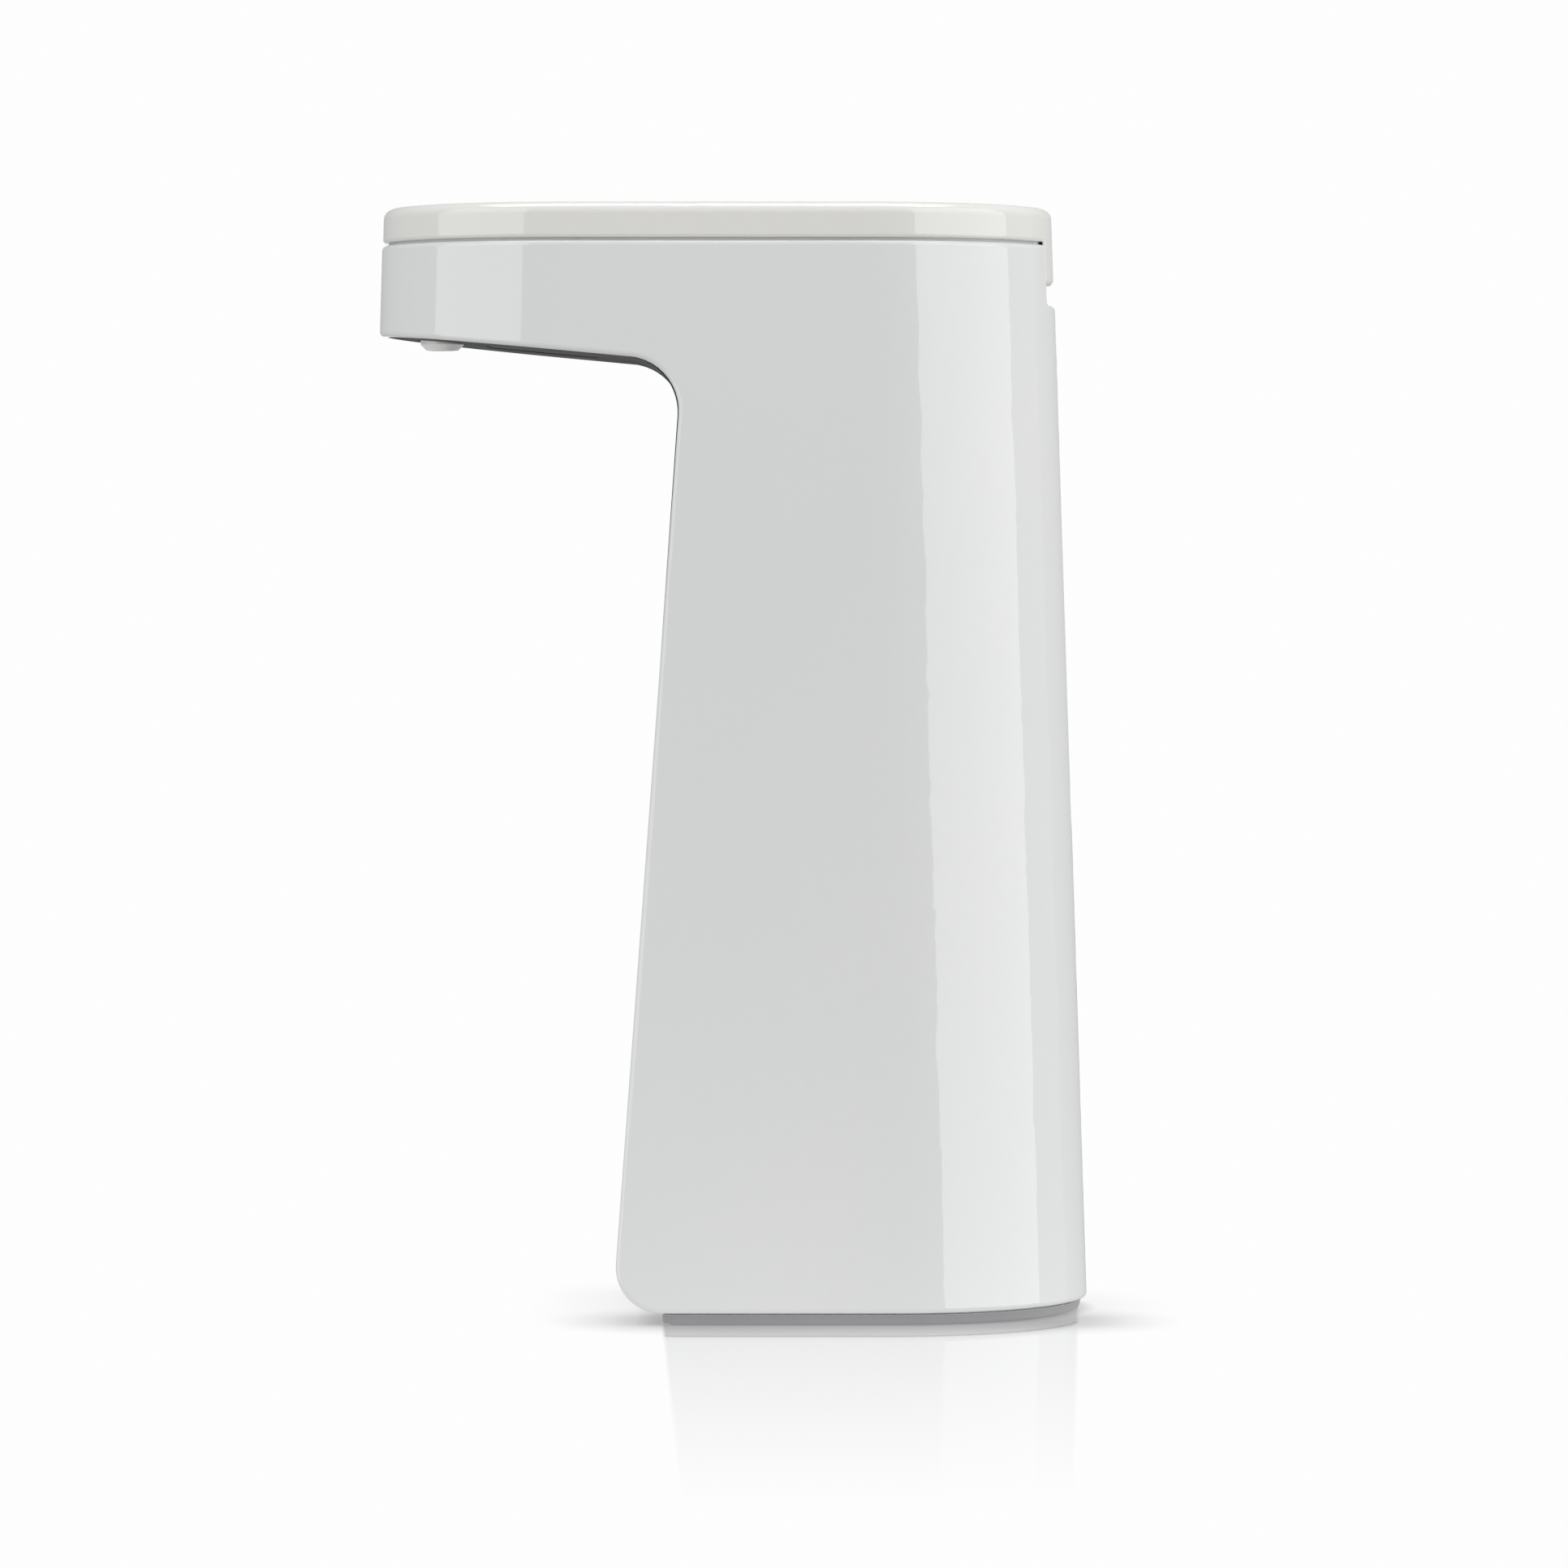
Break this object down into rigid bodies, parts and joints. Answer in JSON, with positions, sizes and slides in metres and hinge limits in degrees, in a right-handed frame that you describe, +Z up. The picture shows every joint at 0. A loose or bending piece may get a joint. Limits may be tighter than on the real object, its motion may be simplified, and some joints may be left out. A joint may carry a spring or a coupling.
{
  "type": "touch-free soap pump",
  "caption": "Counter-top touch-free liquid soap pump: white column with a forward head, nozzle, sensor window, hinged refill lid, tank, motor and gear pump.",
  "frame": {"origin": "middle of the footprint box, on the surface the pump stands on", "axes": "+Z up, -Y towards the nozzle side, X across"},
  "size_m": [0.068, 0.1222, 0.1899],
  "materials": {
    "white_shell": "high gloss moulded",
    "pale_inner": "satin moulded",
    "dark_panel": "satin moulded",
    "smoked": "polished smoked",
    "grey_base": "satin moulded",
    "soft_rubber": "matte",
    "silicone": "translucent matte",
    "seal_black": "matte",
    "natural_pp": "translucent natural",
    "pump_plastic": "moulded",
    "gear_nylon": "moulded",
    "steel": "plain",
    "motor_steel": "plated",
    "pinion_brass": "machined",
    "board": "solder mask",
    "chips": "moulded",
    "led_clear": "clear",
    "led_dark": "dark filter",
    "flat_cable": "flexible",
    "cell_sleeve": "plain sleeve"
  },
  "bodies": {
    "housing": {"base_cap": "grey_base", "base_screws": "steel", "battery_box": "pale_inner", "battery_cells": "cell_sleeve", "body_shell": "white_shell", "bracket_screws": "steel", "cable_connector": "pump_plastic", "contact_plates": "steel", "contact_springs": "steel", "delivery_tube": "silicone", "drive_bracket": "pale_inner", "duckbill_valve": "silicone", "foot_ring": "soft_rubber", "front_panel": "dark_panel", "hinge_pin": "steel", "idler_pin": "steel", "ir_emitter": "led_clear", "ir_receiver": "led_dark", "main_pcb": "board", "motor_can": "motor_steel", "motor_end_cap": "pump_plastic", "motor_screws": "steel", "nozzle": "white_shell", "nozzle_grommet": "silicone", "pcb_components": "chips", "pump_body": "pump_plastic", "pump_cover": "pump_plastic", "pump_gasket": "silicone", "pump_screws": "steel", "sensor_cable": "flat_cable", "sensor_connector": "pump_plastic", "sensor_pcb": "board", "sensor_screws": "steel", "sensor_shroud": "pump_plastic", "sensor_window": "smoked", "shaft_seal": "seal_black", "status_led": "led_clear", "suction_tube": "silicone", "tact_switches": "pump_plastic", "tank": "natural_pp", "tank_seal": "silicone", "tank_strainer": "steel", "top_deck": "pale_inner"},
    "lid": {"lid": "white_shell", "lid_liner": "pale_inner", "lid_gasket": "silicone"},
    "power_button": {"power_button": "white_shell"},
    "volume_up_button": {"volume_up_button": "white_shell"},
    "volume_down_button": {"volume_down_button": "white_shell"},
    "pump_drive": {"pump_shaft": "steel", "reduction_gear": "gear_nylon", "drive_rotor": "gear_nylon"},
    "pump_idler": {"driven_rotor": "gear_nylon"},
    "motor_armature": {"motor_rotor": "steel", "motor_pinion": "pinion_brass"},
    "battery_door": {"battery_door": "grey_base", "door_gasket": "silicone", "door_contacts": "steel", "door_screw": "steel"}
  },
  "joints": [
    {"name": "lid_hinge", "type": "hinge", "parent": "housing", "child": "lid", "pos_m": [0, 0.0504, 0.1788], "axis": [-1, 0, 0], "range_deg": [0, 95]},
    {"name": "power_button_press", "type": "slide", "parent": "housing", "child": "power_button", "axis": [1, 0, 0], "range_m": [0, 0.00045], "stiffness_N_per_m": 500, "springref_m": -0.001},
    {"name": "volume_up_button_press", "type": "slide", "parent": "housing", "child": "volume_up_button", "axis": [1, 0, 0], "range_m": [0, 0.00045], "stiffness_N_per_m": 500, "springref_m": -0.001},
    {"name": "volume_down_button_press", "type": "slide", "parent": "housing", "child": "volume_down_button", "axis": [1, 0, 0], "range_m": [0, 0.00045], "stiffness_N_per_m": 500, "springref_m": -0.001},
    {"name": "pump_spin", "type": "hinge", "parent": "housing", "child": "pump_drive", "pos_m": [-0.002, 0.0041, 0.012], "axis": [0, 0, 1], "continuous": true},
    {"name": "idler_spin", "type": "hinge", "parent": "housing", "child": "pump_idler", "pos_m": [-0.014, 0.0041, 0.021], "axis": [0, 0, 1], "continuous": true},
    {"name": "motor_spin", "type": "hinge", "parent": "housing", "child": "motor_armature", "pos_m": [0.016, 0.0041, 0.012], "axis": [0, 0, 1], "continuous": true},
    {"name": "battery_door_off", "type": "slide", "parent": "housing", "child": "battery_door", "axis": [0, 0, -1], "range_m": [0, 0.03]}
  ],
  "couplings": [
    {"joint": "idler_spin", "follows": "pump_spin", "ratio": -1},
    {"joint": "motor_spin", "follows": "pump_spin", "ratio": -4}
  ]
}
